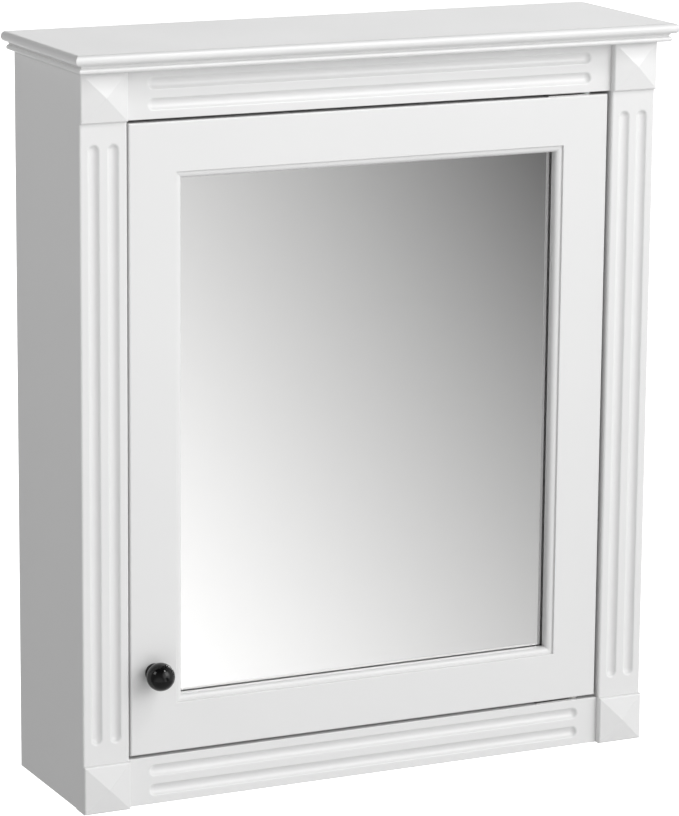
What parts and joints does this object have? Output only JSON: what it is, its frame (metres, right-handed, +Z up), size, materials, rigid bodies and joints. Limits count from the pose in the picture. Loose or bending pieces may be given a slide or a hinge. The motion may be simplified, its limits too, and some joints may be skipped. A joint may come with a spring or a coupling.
{
  "type": "mirrored medicine cabinet",
  "caption": "Wall-hung bathroom cabinet in white painted wood, with an inset mirror door, fluted pilasters, corner blocks, a moulded cornice and adjustable shelves.",
  "frame": {"origin": "centre of the back, in the plane of the wall", "axes": "+X to the right seen from the front, +Y into the wall, +Z up; the door faces -Y"},
  "size_m": [0.6, 0.185, 0.694],
  "materials": {
    "painted_wood": "satin white paint on fine fibreboard",
    "mirror": "silvered float glass",
    "hardboard": "plain hardboard",
    "black_enamel": "gloss black enamel on turned metal",
    "steel": "zinc plated",
    "dowel_beech": "fluted beech dowel",
    "white_plastic": "moulded nylon",
    "ferrite": "ferrite magnet"
  },
  "bodies": {
    "cabinet": {"left_side_panel": "painted_wood", "right_side_panel": "painted_wood", "top_panel": "painted_wood", "bottom_panel": "painted_wood", "back_panel": "painted_wood", "hanging_rail": "painted_wood", "carcass_dowels": "dowel_beech", "back_panel_screws": "steel", "cornice_board": "painted_wood", "cornice_screws": "steel", "top_rail": "painted_wood", "bottom_rail": "painted_wood", "left_pilaster": "painted_wood", "right_pilaster": "painted_wood", "corner_block_top_left": "painted_wood", "corner_block_top_right": "painted_wood", "corner_block_bottom_left": "painted_wood", "corner_block_bottom_right": "painted_wood", "frame_dowels": "dowel_beech", "upper_hinge_frame_leaf": "steel", "lower_hinge_frame_leaf": "steel", "upper_hinge_pin": "steel", "lower_hinge_pin": "steel", "upper_hinge_washer": "white_plastic", "lower_hinge_washer": "white_plastic", "upper_hinge_frame_screws": "steel", "lower_hinge_frame_screws": "steel", "upper_shelf_pins": "steel", "lower_shelf_pins": "steel", "catch_housing": "white_plastic", "catch_magnet": "ferrite", "catch_screws": "steel"},
    "door": {"door_stile_left": "painted_wood", "door_stile_right": "painted_wood", "door_rail_top": "painted_wood", "door_rail_bottom": "painted_wood", "mirror_glass": "mirror", "mirror_backing": "hardboard", "mirror_clips": "steel", "mirror_clip_screws": "steel", "knob": "black_enamel", "knob_rose": "black_enamel", "knob_screw": "steel", "upper_hinge_door_leaf": "steel", "lower_hinge_door_leaf": "steel", "upper_hinge_door_screws": "steel", "lower_hinge_door_screws": "steel", "strike_plate": "steel", "strike_screw": "steel"},
    "shelf_upper": {"upper_shelf": "painted_wood"},
    "shelf_lower": {"lower_shelf": "painted_wood"}
  },
  "joints": [
    {"name": "door_swing", "type": "hinge", "parent": "cabinet", "child": "door", "pos_m": [0.2202, -0.148, 0], "axis": [0, 0, 1], "range_deg": [0, 120]},
    {"name": "upper_shelf_lift", "type": "slide", "parent": "cabinet", "child": "shelf_upper", "axis": [0, 0, 1], "range_m": [0, 0.02]},
    {"name": "lower_shelf_lift", "type": "slide", "parent": "cabinet", "child": "shelf_lower", "axis": [0, 0, 1], "range_m": [0, 0.02]}
  ]
}
